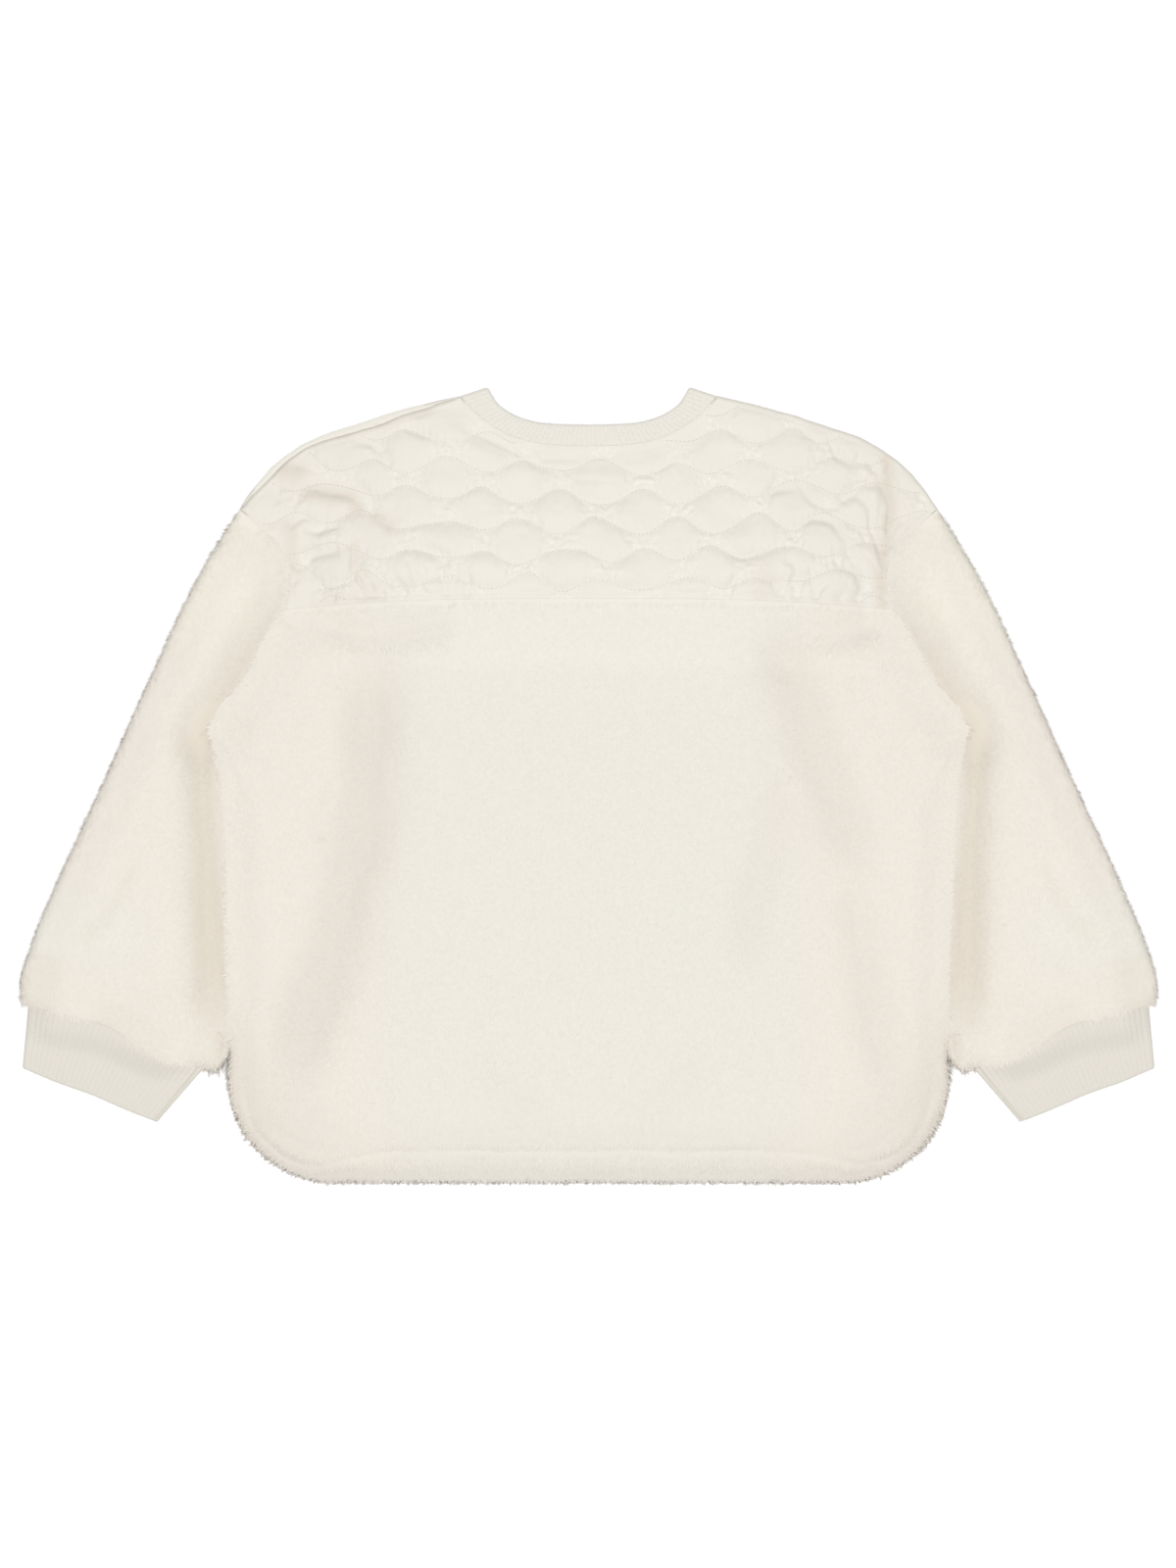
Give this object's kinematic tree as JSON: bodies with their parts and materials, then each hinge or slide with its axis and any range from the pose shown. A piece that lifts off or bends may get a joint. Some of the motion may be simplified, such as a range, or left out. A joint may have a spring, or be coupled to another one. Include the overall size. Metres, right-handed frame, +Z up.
{
  "type": "quilted sweatshirt",
  "caption": "Pile fleece sweatshirt with a quilted yoke, wide gathered sleeves, rib cuffs and a rib neckband, laid flat on its front with its back up.",
  "frame": {"origin": "middle of the garment's outline, on the surface that it lies on", "axes": "+X across the back towards the right-hand sleeve as seen from above, +Y up to the neck, +Z up from the surface"},
  "size_m": [0.8348, 0.585, 0.0154],
  "materials": {
    "pile_fleece": "soft curly pile, matt",
    "quilted_cloth": "smooth woven cloth, quilted in wavy lines, slight sheen",
    "rib_knit": "rib knit, matt"
  },
  "bodies": {
    "root": {"back_body": "pile_fleece", "front_body": "pile_fleece", "left_sleeve": "pile_fleece", "right_sleeve": "pile_fleece", "back_yoke": "quilted_cloth", "front_yoke": "quilted_cloth", "neckband": "rib_knit", "left_cuff": "rib_knit", "right_cuff": "rib_knit"}
  },
  "joints": []
}
